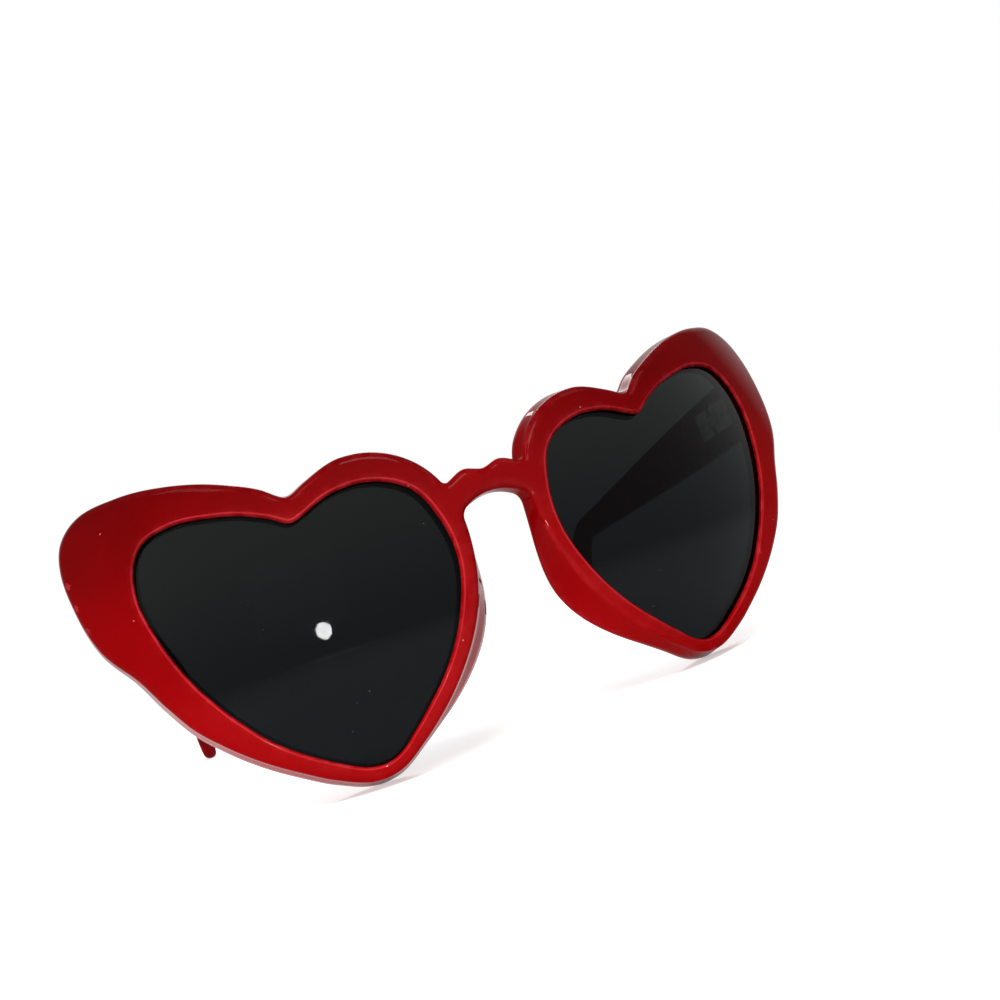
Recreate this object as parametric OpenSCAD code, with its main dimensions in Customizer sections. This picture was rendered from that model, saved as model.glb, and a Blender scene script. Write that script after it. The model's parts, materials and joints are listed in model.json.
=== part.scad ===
// Heart shaped sunglasses: a moulded wraparound front with two tinted lenses and two folding temples.
// Millimetres. +X is the wearer's left, +Y runs back along the open temples, +Z is up.
// The glasses stand open on the points of the two hearts and on the two temple ends.

/* [Front] */
// radius of the sphere that the front and the lenses follow
front_curve_r = 99.5; // [96:0.5:110]
// widest reach of the frame's outline from the middle of a heart
frame_reach = 51.9; // [50:0.1:53]
// gap between the two hearts at the nose, along the curve
heart_gap = 12.8; // [12:0.1:14]
// depth of the rim from its face to its back
rim_depth = 6.4; // [6:0.1:7.5]
// how much the rim's side widens towards the back
side_flare = 1.1; // [0.6:0.1:1.4]
// rounding at the rim's outer front edge
edge_round = 1.3; // [0.8:0.1:1.6]
// width of the bright bevel round each lens
bevel_w = 0.7; // [0.4:0.1:0.7]

/* [Lenses] */
// thickness of a lens
lens_t = 1.9; // [1.6:0.1:2.2]
// how far the lens lies behind the face of the rim
lens_recess = 1.1; // [1:0.1:1.5]
// how far the lens goes into its groove
lens_bite = 0.9; // [0.6:0.1:1.1]
// clearance round the lens in its groove
lens_clear = 0.15; // [0.1:0.01:0.2]

/* [Bridge] */
// how far the bridge goes into each rim
bridge_bite = 0.95; // [0.8:0.05:1.2]
// height of the bridge's two humps above the middle of the hearts
bridge_top = 14; // [13:0.2:14.6]
// height of the bridge between its humps and the arch below them
bridge_h = 4.9; // [4.5:0.1:5.5]
// depth of the dip between the humps
bridge_dip = 0.8; // [0.4:0.1:1.2]
// fall of the bridge's top from its humps to the rims
bridge_fall = 1.5; // [0.8:0.1:2]
// rise of the arch under the bridge
bridge_arch = 3.2; // [2:0.2:4]
// depth of the bridge from front to back
bridge_depth = 5; // [4.4:0.1:5.6]

/* [Nose pads] */
// how far a moulded nose pad stands out from the rim's side
pad_out = 1.9; // [1.4:0.1:2.3]
// how far a nose pad reaches behind the rim
pad_reach = 2.6; // [2:0.1:3]

/* [Temples] */
// straight length of a temple from its hinge to the ear bend
temple_straight = 110; // [104:1:114]
// radius of the ear bend
bend_r = 26; // [22:1:30]
// angle of the ear bend
bend_deg = 41; // [36:1:45]
// straight length of the temple end behind the bend
tip_l = 28; // [25:1:30]
// thickness of a temple
temple_t = 4.2; // [3.8:0.1:4.4]
// angle at which a temple slopes down from its hinge
droop_deg = 2.8; // [1.5:0.1:3.5]
// height of a temple at its hinge
temple_root_h = 13; // [12:0.2:13.6]
// height of a temple at its waist before the bend
temple_waist_h = 6.6; // [6:0.2:7.2]
// height of a temple near its end
temple_tip_h = 11.4; // [10.4:0.2:12]
// length of the rounding at a temple's end
tip_round = 4; // [3:0.2:5]
// angle by which a temple's upper edge runs further than its lower one at the end
tip_slant_deg = 16; // [8:1:20]

/* [Hinges] */
// length of the corner block between the back of the rim and the hinge axis
block_l = 8.7; // [8.2:0.1:9.2]
// radius of a hinge knuckle
knuckle_r = 1.6; // [1.5:0.05:1.8]
// height of the middle knuckle
mid_knuckle_h = 2.4; // [2:0.1:2.8]
// height of each outer knuckle
outer_knuckle_h = 1.8; // [1.6:0.1:2.2]
// gap between knuckles
knuckle_gap = 0.1; // [0.08:0.01:0.15]
// radius of the hinge screw
screw_r = 0.65; // [0.6:0.01:0.7]
// radial clearance of the hinge screw in the knuckles
screw_fit = 0.04; // [0.03:0.01:0.06]
// radius of the hinge screw's head
screw_head_r = 1.2; // [1.1:0.05:1.3]
// height of the hinge screw's head
screw_head_h = 0.6; // [0.5:0.05:0.7]
// thickness of a hinge leaf
leaf_t = 1; // [0.9:0.05:1.1]
// length of a hinge leaf beyond its knuckles
leaf_l = 5.4; // [5:0.1:5.6]
// gap between the front and the end of the temple
butt_gap = 0.4; // [0.3:0.05:0.5]
// clearance round the knuckles in the plastic
knuckle_clear = 0.35; // [0.3:0.05:0.45]

/* [Leaf screws] */
// radius of a leaf screw's shank
leaf_screw_r = 0.5; // [0.45:0.01:0.55]
// length of a leaf screw's shank
leaf_screw_l = 2.6; // [2.2:0.1:2.8]
// radius of a leaf screw's head
leaf_head_r = 0.9; // [0.85:0.01:0.95]
// height of a leaf screw's head
leaf_head_h = 0.4; // [0.3:0.02:0.5]
// clearance round a leaf screw
leaf_screw_fit = 0.05; // [0.04:0.01:0.08]
// width of the slots in the screw heads
slot_w = 0.3; // [0.25:0.01:0.35]
// depth of the slots in the screw heads
slot_d = 0.2; // [0.15:0.01:0.25]

/* [Hidden] */
// points round each heart
heart_steps = 96;
// steps in each half of the bridge
bridge_steps = 10;
// place of the middle of a rounded corner, as a share of its radius
corner_share = 0.3;
// angle round the heart of the middle of a nose pad, and of its run to each side
pad_angle = 205;
pad_run = 40;
// overrun of every cut
cut = 1;
// fineness of round faces
$fn = 48;
// colours of the plastic, the lenses and the metal
red = [0.60, 0.02, 0.05];
smoke = [0.10, 0.11, 0.12, 0.75];
steel = [0.72, 0.72, 0.73];
// angle round the heart and reach of the lens opening, as a share of lens_reach
lens_shares = [
    [0, 0.752], [12, 0.838], [24, 0.947], [34, 1], [42, 0.989], [52, 0.876], [64, 0.724], [78, 0.6],
    [90, 0.521], [101, 0.472], [110, 0.51], [122, 0.628], [136, 0.756], [150, 0.837], [164, 0.84],
    [180, 0.827], [198, 0.793], [216, 0.778], [232, 0.783], [244, 0.812], [250, 0.839], [257, 0.851],
    [264, 0.825], [270, 0.782], [276, 0.742], [284, 0.702], [294, 0.667], [306, 0.642], [320, 0.63],
    [336, 0.65], [348, 0.691]];
// angle round the heart and reach of the frame's outline, as a share of frame_reach
frame_shares = [
    [0, 0.645], [10, 0.782], [20, 0.896], [28, 0.98], [34, 1], [41, 0.944], [50, 0.804], [62, 0.647],
    [76, 0.518], [90, 0.433], [101, 0.383], [110, 0.428], [122, 0.518], [136, 0.581], [150, 0.607],
    [164, 0.598], [180, 0.571], [198, 0.55], [216, 0.535], [232, 0.538], [244, 0.552], [255, 0.573],
    [264, 0.565], [276, 0.523], [290, 0.487], [306, 0.477], [322, 0.493], [336, 0.531], [348, 0.573]];
// widest reach of the lens opening, as a share of frame_reach
opening_share = 0.624;
// place of the hinge out from the middle of a heart along the curve, and above it, as shares of frame_reach
hinge_out_share = 0.682;
hinge_up_share = 0.273;
// distance along a temple's straight part, as a share of it, where the height falls half way
taper_share = 0.62;
// how square the temple's end is
tip_square_share = 0.4;
// place of the top of a hump, as a share of the bridge's half width
hump_share = 0.42;
// place of the middle of the rim's face, as a share of its width
face_share = 0.5;
// most of a narrow rim's width that its outer rounding and its bevel may take
round_share = 0.32;
bevel_share = 0.22;
// reach of the lens opening
lens_reach = frame_reach * opening_share;
// distance from the middle of the bridge to the middle of a heart, along the curve
heart_offset = frame_at(180) + heart_gap / 2;
// half the width of the bridge where it enters the rims
bridge_half_w = heart_gap / 2 + bridge_bite;
// hinge axis: across, up, and back from the front of the bridge
hinge_x = wrap_x(heart_offset + frame_reach * hinge_out_share);
hinge_up = frame_reach * hinge_up_share;
hinge_back = sphere_back(hinge_x, hinge_up + temple_root_h / 2) + rim_depth + block_l;
// height of a hinge's leaves
leaf_h = mid_knuckle_h + 2 * outer_knuckle_h + 2 * knuckle_gap;
// start of a leaf's plate behind or before the axis
leaf_start = knuckle_r + 0.375 * knuckle_r;
// inner face of the plastic that carries the leaves, from the axis
seat_in = leaf_t - knuckle_r;
// length of the curved part of a temple
bend_l = bend_r * bend_deg * PI / 180;
// whole length along a temple
temple_l = temple_straight + bend_l + tip_l;
// lowest point of a heart, at the back of its rim: [across, back, up]
low_step = 70;
heart_low = rim_ring(360 * low_step / heart_steps)[5];
// places along a temple where its outline has points: even steps, then closer ones round the end
temple_steps = 70;
end_steps = 10;
temple_first = butt_gap / 2;
temple_s = concat(
    [for (i = [0:temple_steps]) temple_first + (temple_l - tip_round - temple_first) * i / temple_steps],
    [for (i = [1:end_steps]) temple_l - tip_round * pow(1 - i / end_steps, 1.5)]);
// upper and lower edge of a temple: [back, up]
temple_top = [for (s = temple_s) temple_edge(s, 1)];
temple_low = [for (s = temple_s) temple_edge(s, -1)];
// angle at which the open glasses lean back when they stand on the hearts' points and the temples' ends
lean = min([for (p = temple_low) if (p[0] > hinge_back + temple_straight)
    atan((p[1] - heart_low[2]) / (p[0] - heart_low[1]))]);
// height of the middle of the hearts when they stand
stand_up = heart_low[1] * sin(lean) - heart_low[2] * cos(lean);

// how far back the temples reach when the glasses stand
reach_back = max([for (p = temple_top) p[0] * cos(lean) + p[1] * sin(lean)]);

// depth of the sphere behind the front of the bridge, at a place given across and up
function sphere_back(x, up) = front_curve_r - sqrt(front_curve_r * front_curve_r - x * x - up * up);
// distance from the middle plane of a place given along the curve
function wrap_x(along) = front_curve_r * sin(along / front_curve_r * 180 / PI);

// smooth closed curve through [angle, share] points
function turn(a) = a - 360 * floor(a / 360);
function seg(t, a, i = 0) = i + 1 >= len(t) || turn(a) < t[i + 1][0] ? i : seg(t, a, i + 1);
function node_a(t, i) = t[(i + len(t)) % len(t)][0] + (i >= len(t) ? 360 : i < 0 ? -360 : 0);
function node_s(t, i) = t[(i + len(t)) % len(t)][1];
function slope(t, i) = (node_s(t, i + 1) - node_s(t, i - 1)) / (node_a(t, i + 1) - node_a(t, i - 1));
function blend(p, q, mp, mq, g, f) =
    (1 + 2 * f) * (1 - f) * (1 - f) * p + f * (1 - f) * (1 - f) * g * mp
    + f * f * (3 - 2 * f) * q + f * f * (f - 1) * g * mq;
function share_at(t, a) =
    let (i = seg(t, a), g = node_a(t, i + 1) - node_a(t, i), f = (turn(a) - node_a(t, i)) / g)
    blend(node_s(t, i), node_s(t, i + 1), slope(t, i), slope(t, i + 1), g, f);

// reach of the lens opening and of the frame at an angle
function lens_at(a) = lens_reach * share_at(lens_shares, a);
function frame_at(a) = frame_reach * share_at(frame_shares, a);
// a place round the heart, across and up
function heart_xz(a, r) = [wrap_x(heart_offset + r * cos(a)), r * sin(a)];

// how much of a nose pad stands at an angle round the heart
function pad_at(a) = ease(1 - abs(turn(a) - pad_angle) / pad_run);

// section of the rim where its face is w wide and p of a nose pad stands on it,
// round the outside and back inside: [share of width, extra reach, depth]
function rim_section(w, p) =
    let (e = min(edge_round, w * round_share),
        b = min(bevel_w, w * bevel_share),
        groove = lens_bite + lens_clear,
        wide = side_flare + pad_out * p,
        deep = rim_depth + pad_reach * p)
    [[0, b, 0],
    [face_share, 0, 0],
    [1, -e, 0],
    [1, -e * corner_share, e * corner_share],
    [1, 0, e],
    [1, wide, deep - e],
    [1, wide - e, deep],
    [0, b, rim_depth],
    [0, 0, rim_depth - b],
    [0, 0, lens_recess + lens_t + lens_clear],
    [0, groove, lens_recess + lens_t + lens_clear],
    [0, groove, lens_recess - lens_clear],
    [0, 0, lens_recess - lens_clear],
    [0, 0, b]];

function rim_reach(a, q) = lens_at(a) + q[0] * (frame_at(a) - lens_at(a)) + q[1];
function rim_point(a, q) =
    let (p = heart_xz(a, rim_reach(a, q)))
    [p[0], sphere_back(p[0], p[1]) + q[2], p[1]];
function rim_ring(a) = [for (q = rim_section(frame_at(a) - lens_at(a), pad_at(a))) rim_point(a, q)];

// height of the bridge's top at a share of its half width
function bridge_top_at(f) =
    f < hump_share ? bridge_top - bridge_dip * (1 - ease(f / hump_share))
    : bridge_top - bridge_fall * ease((f - hump_share) / (1 - hump_share));
// section of the bridge at a share of its half width, all round: [height, depth]
function bridge_section(f) =
    let (top = bridge_top_at(abs(f)),
        low = bridge_top - bridge_h - bridge_arch * f * f,
        r = edge_round,
        q = edge_round * corner_share,
        face = q,
        back = bridge_depth)
    [[low + r, face], [top - r, face], [top - q, face + q], [top, face + r],
    [top, back - r], [top - q, back - q], [top - r, back],
    [low + r, back], [low + q, back - q], [low, back - r],
    [low, face + r], [low + q, face + q]];
function bridge_ring(f) =
    let (x = bridge_half_w * f)
    [for (p = bridge_section(f)) [x, sphere_back(x, p[0]) + p[1], p[0]]];

// stands the glasses on the floor
module stand() {
    translate([0, -reach_back / 2, stand_up])
        rotate([-lean, 0, 0])
            children();
}

// the wearer's left side, or its mirror image
module side(left) {
    mirror([left ? 0 : 1, 0, 0])
        children();
}

// solid through a row of rings of points: with closed ends, or joined end to end
module loft(rings, ends) {
    n = len(rings);
    m = len(rings[0]);
    tris = [for (i = [0:ends ? n - 2 : n - 1]) for (j = [0:m - 1])
        let (a = i * m + j,
            b = i * m + (j + 1) % m,
            c = ((i + 1) % n) * m + j,
            d = ((i + 1) % n) * m + (j + 1) % m)
        each [[a, c, b], [b, c, d]]];
    last = (n - 1) * m;
    caps = [for (j = [1:m - 2]) each [[0, j, j + 1], [last, last + j + 1, last + j]]];
    polyhedron([for (r = rings) each r], concat(tris, ends ? caps : []));
}

// one heart shaped rim with its nose pad
module rim() {
    loft([for (i = [0:heart_steps - 1]) rim_ring(360 * i / heart_steps)], false);
}

// solid between two copies of the front's sphere
module shell(from, to) {
    difference() {
        translate([0, front_curve_r + from, 0])
            sphere(front_curve_r, $fn = 120);
        translate([0, front_curve_r + to, 0])
            sphere(front_curve_r, $fn = 120);
    }
}

// the bridge, with two humps above and an arch below
module bridge() {
    loft([for (i = [bridge_steps:-1:-bridge_steps]) bridge_ring(i / bridge_steps)], true);
}

// corner block behind the upper outer lobe that carries the hinge
module end_piece() {
    block_back = hinge_back - butt_gap / 2;
    block_top = hinge_up + temple_root_h / 2;
    inner = hinge_x + seat_in;
    outer = inner + temple_t;
    difference() {
        translate([0, 0, block_top - temple_root_h])
            linear_extrude(temple_root_h)
                polygon([[inner, sphere_back(inner, block_top) + rim_depth / 2],
                    [outer, sphere_back(outer, block_top) + rim_depth / 2],
                    [outer, block_back],
                    [inner, block_back]]);
        hinge_cut();
        corner_cove();
        leaf_screw_holes(-1);
    }
}

// round clearance for the knuckles, and for the screw's head above them
module hinge_cut() {
    translate([hinge_x, hinge_back, hinge_up - leaf_h / 2 - knuckle_clear])
        cylinder(r = knuckle_r + knuckle_clear, h = leaf_h + screw_head_h + 2 * knuckle_clear + slot_d);
}

// hollow corner of the block, where the inner edge of the temple turns
module corner_cove() {
    translate([hinge_x, hinge_back, hinge_up - temple_root_h / 2 - cut])
        cylinder(r = norm([seat_in, butt_gap / 2]) + knuckle_clear, h = temple_root_h + 2 * cut);
}

// places of the two screws in a leaf: dir is -1 for the front leaf, 1 for the temple leaf
module leaf_screw_places(dir) {
    for (k = [-1, 1])
        translate([hinge_x + seat_in, hinge_back + dir * (leaf_start + leaf_l / 2 + k * leaf_l / 4), hinge_up])
            rotate([0, 90, 0])
                children();
}

module leaf_screw_holes(dir) {
    leaf_screw_places(dir)
        translate([0, 0, -cut])
            cylinder(r = leaf_screw_r + leaf_screw_fit, h = leaf_screw_l + leaf_screw_fit + cut);
}

// middle line of a temple: [distance back from the front of the bridge, height]
function temple_mid(s) =
    let (b = min(max(s - temple_straight, 0), bend_l) / bend_r * 180 / PI,
        tail = max(s - temple_straight - bend_l, 0),
        back = min(s, temple_straight) + bend_r * sin(b) + tail * cos(bend_deg),
        down = bend_r * (1 - cos(b)) + tail * sin(bend_deg))
    [hinge_back + back * cos(droop_deg) - down * sin(droop_deg),
        hinge_up - down * cos(droop_deg) - back * sin(droop_deg)];
function temple_turn(s) = droop_deg + min(max(s - temple_straight, 0), bend_l) / bend_r * 180 / PI;
// height of a temple along it
function ease(f) = let (g = min(max(f, 0), 1)) g * g * (3 - 2 * g);
function temple_h(s) =
    let (fall = ease(s / (temple_straight * taper_share * 2)),
        body = temple_root_h + (temple_waist_h - temple_root_h) * fall,
        flat = body + (temple_tip_h - temple_waist_h) * ease((s - temple_straight) / (bend_l + tip_l)),
        left = max(temple_l - s, 0) / tip_round)
    left >= 1 ? flat : flat * pow(max(1 - pow(1 - left, 2 + tip_square_share), 0), 0.5);
// point of a temple's upper (1) or lower (-1) edge
function temple_edge(s, dir) =
    let (h = temple_h(s) / 2,
        t = temple_turn(s),
        slant = ease((s - temple_l + tip_l) / tip_l) * tan(tip_slant_deg),
        p = temple_mid(s + dir * h * slant))
    [p[0] + dir * h * sin(t), p[1] + dir * h * cos(t)];

// one temple arm, before its place is mirrored
module temple_arm() {
    back_along = [for (k = [len(temple_low) - 2:-1:0]) temple_low[k]];
    difference() {
        translate([hinge_x + seat_in, 0, 0])
            rotate([90, 0, 90])
                linear_extrude(temple_t)
                    polygon(concat(temple_top, back_along));
        hinge_cut();
        leaf_screw_holes(1);
    }
}

// one knuckle at a height above the bottom of the hinge
module knuckle(from, h) {
    translate([hinge_x, hinge_back, hinge_up - leaf_h / 2 + from])
        cylinder(r = knuckle_r, h = h);
}

// neck that joins a knuckle to its leaf
module neck(dir, from, h) {
    translate([hinge_x - knuckle_r, hinge_back + (dir > 0 ? 0 : -leaf_start), hinge_up - leaf_h / 2 + from])
        cube([leaf_t, leaf_start, h]);
}

// plate of a leaf
module leaf_plate(dir) {
    from = dir > 0 ? leaf_start : -leaf_start - leaf_l;
    translate([hinge_x - knuckle_r, hinge_back + from, hinge_up - leaf_h / 2])
        cube([leaf_t, leaf_l, leaf_h]);
}

// bore for the hinge screw and holes for the leaf screws
module leaf_bores(dir) {
    translate([hinge_x, hinge_back, hinge_up - leaf_h / 2 - cut])
        cylinder(r = screw_r + screw_fit, h = leaf_h + 2 * cut);
    leaf_screw_places(dir)
        translate([0, 0, -leaf_t - cut])
            cylinder(r = leaf_screw_r + leaf_screw_fit, h = leaf_t + 2 * cut);
}

module front_leaf_side() {
    difference() {
        union() {
            leaf_plate(-1);
            knuckle(0, outer_knuckle_h);
            knuckle(leaf_h - outer_knuckle_h, outer_knuckle_h);
            neck(-1, 0, outer_knuckle_h);
            neck(-1, leaf_h - outer_knuckle_h, outer_knuckle_h);
        }
        leaf_bores(-1);
    }
}

module temple_leaf_side() {
    difference() {
        union() {
            leaf_plate(1);
            knuckle(outer_knuckle_h + knuckle_gap, mid_knuckle_h);
            neck(1, outer_knuckle_h + knuckle_gap, mid_knuckle_h);
        }
        leaf_bores(1);
    }
}

// slotted screw along +Z, its head resting on z = 0
module slotted_screw(r, l, head_r, head_h) {
    difference() {
        union() {
            translate([0, 0, -l])
                cylinder(r = r, h = l);
            cylinder(r = head_r, h = head_h);
        }
        translate([-head_r - cut, -slot_w / 2, head_h - slot_d])
            cube([2 * head_r + 2 * cut, slot_w, slot_d + cut]);
    }
}

module hinge_screw_side() {
    translate([hinge_x, hinge_back, hinge_up + leaf_h / 2])
        slotted_screw(screw_r, leaf_h, screw_head_r, screw_head_h);
}

module leaf_screws_side(dir) {
    leaf_screw_places(dir)
        translate([0, 0, -leaf_t])
            mirror([0, 0, 1])
                slotted_screw(leaf_screw_r, leaf_t + leaf_screw_l - leaf_screw_fit, leaf_head_r, leaf_head_h);
}

// one lens, cut from a thin shell of the sphere
module lens_side() {
    edge = [for (i = [0:heart_steps - 1]) let (a = 360 * i / heart_steps)
        heart_xz(a, lens_at(a) + lens_bite)];
    intersection() {
        rotate([90, 0, 0])
            translate([0, 0, -front_curve_r])
                linear_extrude(front_curve_r + cut)
                    polygon(edge);
        shell(lens_recess, lens_recess + lens_t);
    }
}

module front_frame() {
    color(red)
        stand() {
            bridge();
            for (left = [true, false])
                side(left) {
                    rim();
                    end_piece();
                }
        }
}

module left_lens() {
    color(smoke)
        stand()
            side(true)
                lens_side();
}

module right_lens() {
    color(smoke)
        stand()
            side(false)
                lens_side();
}

module left_temple() {
    color(red)
        stand()
            side(true)
                temple_arm();
}

module right_temple() {
    color(red)
        stand()
            side(false)
                temple_arm();
}

module left_front_leaf() {
    color(steel)
        stand()
            side(true)
                front_leaf_side();
}

module right_front_leaf() {
    color(steel)
        stand()
            side(false)
                front_leaf_side();
}

module left_temple_leaf() {
    color(steel)
        stand()
            side(true)
                temple_leaf_side();
}

module right_temple_leaf() {
    color(steel)
        stand()
            side(false)
                temple_leaf_side();
}

module left_hinge_screw() {
    color(steel)
        stand()
            side(true)
                hinge_screw_side();
}

module right_hinge_screw() {
    color(steel)
        stand()
            side(false)
                hinge_screw_side();
}

module left_front_leaf_screws() {
    color(steel)
        stand()
            side(true)
                leaf_screws_side(-1);
}

module right_front_leaf_screws() {
    color(steel)
        stand()
            side(false)
                leaf_screws_side(-1);
}

module left_temple_leaf_screws() {
    color(steel)
        stand()
            side(true)
                leaf_screws_side(1);
}

module right_temple_leaf_screws() {
    color(steel)
        stand()
            side(false)
                leaf_screws_side(1);
}

front_frame();
left_lens();
right_lens();
left_temple();
right_temple();
left_front_leaf();
right_front_leaf();
left_temple_leaf();
right_temple_leaf();
left_hinge_screw();
right_hinge_screw();
left_front_leaf_screws();
right_front_leaf_screws();
left_temple_leaf_screws();
right_temple_leaf_screws();
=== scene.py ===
import json
import math

import bmesh
import bpy
import numpy as np
from mathutils import Matrix, Quaternion, Vector
from mathutils.geometry import delaunay_2d_cdt


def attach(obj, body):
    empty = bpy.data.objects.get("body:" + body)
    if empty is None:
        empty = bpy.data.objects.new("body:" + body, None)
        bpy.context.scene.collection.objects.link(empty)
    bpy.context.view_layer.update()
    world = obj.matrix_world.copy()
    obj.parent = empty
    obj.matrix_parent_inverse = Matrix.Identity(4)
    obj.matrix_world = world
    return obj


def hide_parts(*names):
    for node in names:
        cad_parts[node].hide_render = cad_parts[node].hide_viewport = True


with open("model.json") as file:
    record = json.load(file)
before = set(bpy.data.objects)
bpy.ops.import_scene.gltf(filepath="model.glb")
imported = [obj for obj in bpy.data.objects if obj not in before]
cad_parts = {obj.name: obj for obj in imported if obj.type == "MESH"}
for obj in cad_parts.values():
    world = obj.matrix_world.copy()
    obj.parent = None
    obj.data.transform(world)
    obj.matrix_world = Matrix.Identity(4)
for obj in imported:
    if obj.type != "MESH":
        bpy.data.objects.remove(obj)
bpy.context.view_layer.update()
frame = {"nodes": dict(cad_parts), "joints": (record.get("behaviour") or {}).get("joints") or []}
print("frame loaded")


# Shapes are worked out in millimetres as (across, back, up), with the front of the bridge at back = 0,
# and then stood up in the same way as the solids.
front = {
    "curve": 99.5, "reach": 51.9, "gap": 12.8, "opening": 0.624, "depth": 6.4,
    "flare": 1.06, "flareFrom": 3.5, "flareOver": 6.0,
    "bevel": 0.7, "edgeIn": 1.7, "edgeBack": 1.25, "backRound": 0.9,
    "lensThick": 1.9, "lensRecess": 1.1, "lensBite": 0.9, "lensClear": 0.15,
    "widthMost": 9.0, "edgeShare": 0.44, "backShare": 0.34, "roundShare": 0.28, "bevelShare": 0.22,
    "edgeStep": 0.42, "fillStep": 0.85,
}
# angle round the middle of a heart in degrees, and the reach there as a share of the longest
lensTable = [
    (0, 0.752), (12, 0.838), (24, 0.947), (34, 1), (42, 0.989), (52, 0.876), (64, 0.724), (78, 0.6),
    (90, 0.521), (101, 0.472), (110, 0.51), (122, 0.628), (136, 0.756), (150, 0.837), (164, 0.84),
    (180, 0.827), (198, 0.793), (216, 0.778), (232, 0.783), (244, 0.812), (250, 0.839), (257, 0.851),
    (264, 0.825), (270, 0.782), (276, 0.742), (284, 0.702), (294, 0.667), (306, 0.642), (320, 0.63),
    (336, 0.65), (348, 0.691)]
frameTable = [
    (0, 0.645), (10, 0.782), (20, 0.896), (28, 0.98), (34, 1), (41, 0.944), (50, 0.804), (62, 0.647),
    (76, 0.518), (90, 0.433), (101, 0.383), (110, 0.428), (122, 0.518), (136, 0.581), (150, 0.607),
    (164, 0.598), (180, 0.571), (198, 0.55), (216, 0.535), (232, 0.538), (244, 0.552), (255, 0.573),
    (264, 0.565), (276, 0.523), (290, 0.487), (306, 0.477), (322, 0.493), (336, 0.531), (348, 0.573)]


def smoothShare(table, angles):
    a = np.array([p[0] for p in table], float)
    s = np.array([p[1] for p in table], float)
    a = np.concatenate([a - 360, a, a + 360])
    s = np.concatenate([s, s, s])
    slope = np.zeros_like(s)
    slope[1:-1] = (s[2:] - s[:-2]) / (a[2:] - a[:-2])
    t = np.mod(np.asarray(angles, float), 360)
    i = np.searchsorted(a, t, side="right") - 1
    g = a[i + 1] - a[i]
    f = (t - a[i]) / g
    return ((1 + 2 * f) * (1 - f) ** 2 * s[i] + f * (1 - f) ** 2 * g * slope[i]
            + f * f * (3 - 2 * f) * s[i + 1] + f * f * (f - 1) * g * slope[i + 1])


def lensAt(angles):
    return front["reach"] * front["opening"] * smoothShare(lensTable, angles)


def frameAt(angles):
    return front["reach"] * smoothShare(frameTable, angles)


heartMiddle = float(frameAt([180])[0]) + front["gap"] / 2


def sphereBack(x, up):
    r = front["curve"]
    return r - np.sqrt(r * r - x * x - up * up)


def wrapX(along):
    return front["curve"] * np.sin(along / front["curve"])


def heartPoints(angles, reach):
    a = np.radians(angles)
    return np.column_stack([wrapX(heartMiddle + reach * np.cos(a)), reach * np.sin(a)])


def ease(f):
    g = np.clip(f, 0, 1)
    return g * g * (3 - 2 * g)


temple = {
    "straight": 110.0, "bendRadius": 26.0, "bendDeg": 41.0, "tip": 28.0, "thick": 4.2, "droopDeg": 2.8,
    "rootHigh": 13.0, "waistHigh": 6.6, "tipHigh": 11.4, "tipRound": 4.0, "edge": 1.45, "tipEdge": 2.0,
    "tipThin": 6.0, "thinBy": 0.72, "slantDeg": 16.0, "taper": 0.62, "square": 0.4,
    "steps": 170, "tipSteps": 16,
    "buttGap": 0.4, "buttRound": ((0.0, 0.45), (0.12, 0.2), (0.45, 0.0)), "buttLong": 1.2,
}
hinge = {
    "outShare": 0.682, "upShare": 0.273, "block": 8.7, "knuckle": 1.6, "high": 6.2, "leafThick": 1.0,
    "leafLong": 5.4, "clear": 0.35, "screwHeadHigh": 0.6,
}
hingeX = float(wrapX(heartMiddle + front["reach"] * hinge["outShare"]))
hingeUp = front["reach"] * hinge["upShare"]
hingeBack = float(sphereBack(hingeX, hingeUp + temple["rootHigh"] / 2)) + front["depth"] + hinge["block"]
seatX = hingeX + hinge["leafThick"] - hinge["knuckle"]
leafStart = 1.375 * hinge["knuckle"]

# the record's hinge axis gives the lean of the front and its place
leftHinge = [j for j in frame["joints"] if j["name"] == "left_hinge"][0]
leanSin, leanCos = leftHinge["axis"][1], leftHinge["axis"][2]
shiftY = leftHinge["pos_m"][1] - (hingeBack * leanCos + hingeUp * leanSin) / 1000
shiftZ = leftHinge["pos_m"][2] - (hingeUp * leanCos - hingeBack * leanSin) / 1000


def toRow(points):
    p = np.asarray(points, float)
    return np.column_stack([p[:, 0] / 1000,
                            (p[:, 1] * leanCos + p[:, 2] * leanSin) / 1000 + shiftY,
                            (p[:, 2] * leanCos - p[:, 1] * leanSin) / 1000 + shiftZ])


def turnToRow(v):
    return Vector((v[0], v[1] * leanCos + v[2] * leanSin, v[2] * leanCos - v[1] * leanSin))


# node helpers

def addNode(tree, kind, settings=None, **inputs):
    # inputs go by name, with _ for a space, or by number as i0, i1 where names repeat; sockets are linked
    node = tree.nodes.new(kind)
    for key, value in (settings or {}).items():
        setattr(node, key, value)
    for key, value in inputs.items():
        byNumber = key[0] == "i" and key[1:].isdigit()
        socket = node.inputs[int(key[1:])] if byNumber else node.inputs[key.replace("_", " ")]
        if isinstance(value, bpy.types.NodeSocket):
            tree.links.new(value, socket)
        else:
            socket.default_value = value
    return node


def maths(tree, operation, *values):
    sockets = {"i" + str(k): value for k, value in enumerate(values)}
    return addNode(tree, "ShaderNodeMath", {"operation": operation}, **sockets).outputs[0]


def mapRange(tree, value, low, high, toLow=0.0, toHigh=1.0, smooth=False):
    settings = {"clamp": True, "interpolation_type": "SMOOTHSTEP" if smooth else "LINEAR"}
    node = addNode(tree, "ShaderNodeMapRange", settings, Value=value, i1=low, i2=high, i3=toLow, i4=toHigh)
    return node.outputs[0]


def mixColours(tree, share, first, second):
    return addNode(tree, "ShaderNodeMix", {"data_type": "RGBA"}, i0=share, i6=first, i7=second).outputs[2]


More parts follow.
